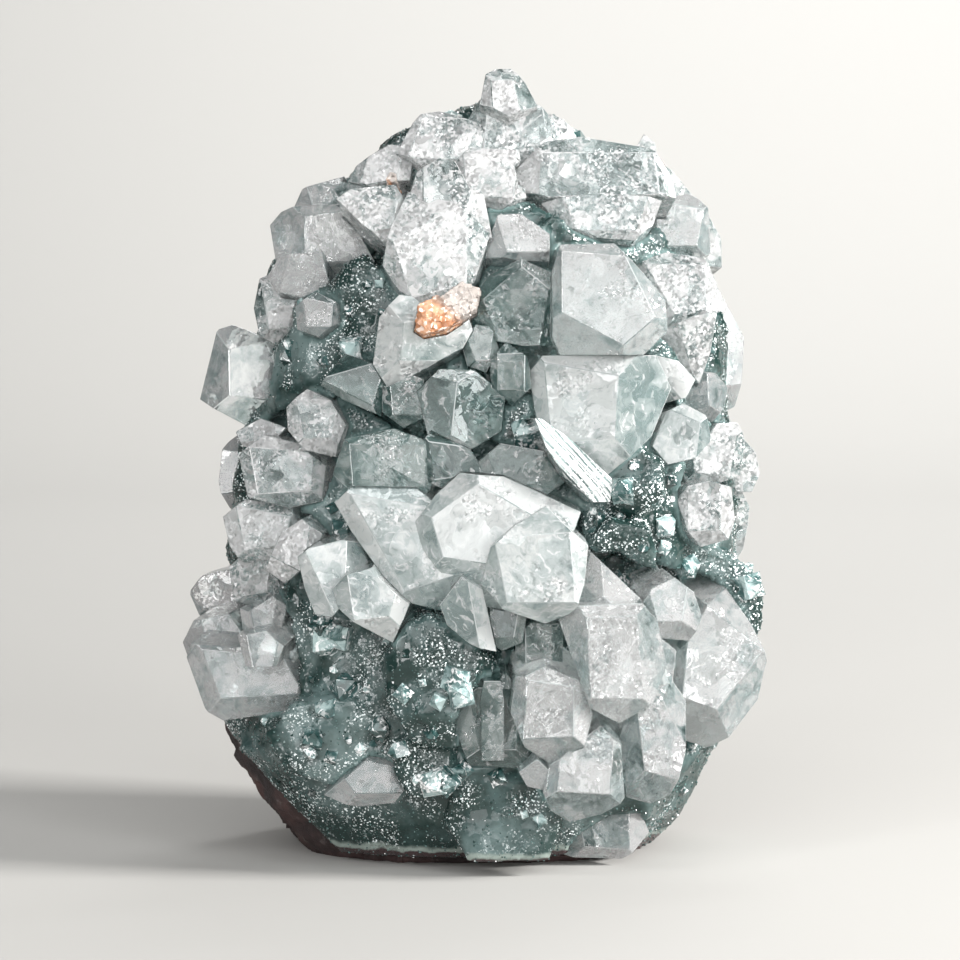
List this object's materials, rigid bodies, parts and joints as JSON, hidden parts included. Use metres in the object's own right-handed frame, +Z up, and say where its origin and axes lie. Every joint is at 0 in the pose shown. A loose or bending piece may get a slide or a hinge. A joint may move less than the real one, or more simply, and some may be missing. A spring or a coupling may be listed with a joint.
{
  "type": "apophyllite crystal cluster",
  "caption": "Free-standing cluster of clear to milky blocky apophyllite crystals with peach stilbite, on a green druse crust over dark basalt with a flat sawn foot.",
  "frame": {"origin": "on the sawn foot, under the middle of the cluster's bounding box", "axes": "+Z up, -Y towards the crystal front, +X to the viewer's right"},
  "size_m": [0.088, 0.0672, 0.1193],
  "materials": {
    "clear_apophyllite": "clear, glassy faces with pearly cleavage",
    "milky_apophyllite": "cloudy white, glassy faces",
    "grey_green_apophyllite": "grey-green, translucent, glassy faces",
    "stilbite": "peach, pearly",
    "green_druse": "dark green druse with glittering grains",
    "basalt": "rough broken rock, sawn at the foot"
  },
  "bodies": {
    "root": {"stilbite_sheaf": "stilbite", "stilbite_speck": "stilbite", "lower_right_crystals": "clear_apophyllite", "centre_crystals": "milky_apophyllite", "centre_left_crystals": "milky_apophyllite", "bright_blade_crystal": "clear_apophyllite", "milky_edge_crystal": "milky_apophyllite", "bevelled_crystal": "clear_apophyllite", "top_slab_crystals": "clear_apophyllite", "right_shoulder_crystals": "clear_apophyllite", "upper_right_block": "clear_apophyllite", "upper_right_crystals": "clear_apophyllite", "right_plate_crystal": "clear_apophyllite", "right_point_crystal": "clear_apophyllite", "crown_crystals": "clear_apophyllite", "upper_left_crystals": "clear_apophyllite", "upper_left_block": "clear_apophyllite", "left_small_crystal": "clear_apophyllite", "left_round_crystal": "clear_apophyllite", "left_block_crystal": "clear_apophyllite", "milky_block_crystal": "milky_apophyllite", "grey_green_crystals": "grey_green_apophyllite", "under_slab_crystal": "clear_apophyllite", "grey_lower_crystals": "grey_green_apophyllite", "grey_upper_crystals": "grey_green_apophyllite", "left_rim_crystals": "clear_apophyllite", "left_lower_crystals": "clear_apophyllite", "left_edge_crystal": "clear_apophyllite", "left_corner_crystal": "clear_apophyllite", "lower_left_crystals": "clear_apophyllite", "right_milky_crystal": "milky_apophyllite", "right_rim_crystals": "clear_apophyllite", "right_edge_crystals": "clear_apophyllite", "foot_crystals": "grey_green_apophyllite", "flake_crystal": "clear_apophyllite", "corner_crystal": "clear_apophyllite", "recess_crystals": "grey_green_apophyllite", "green_crust": "green_druse", "basalt_matrix": "basalt"}
  },
  "joints": []
}
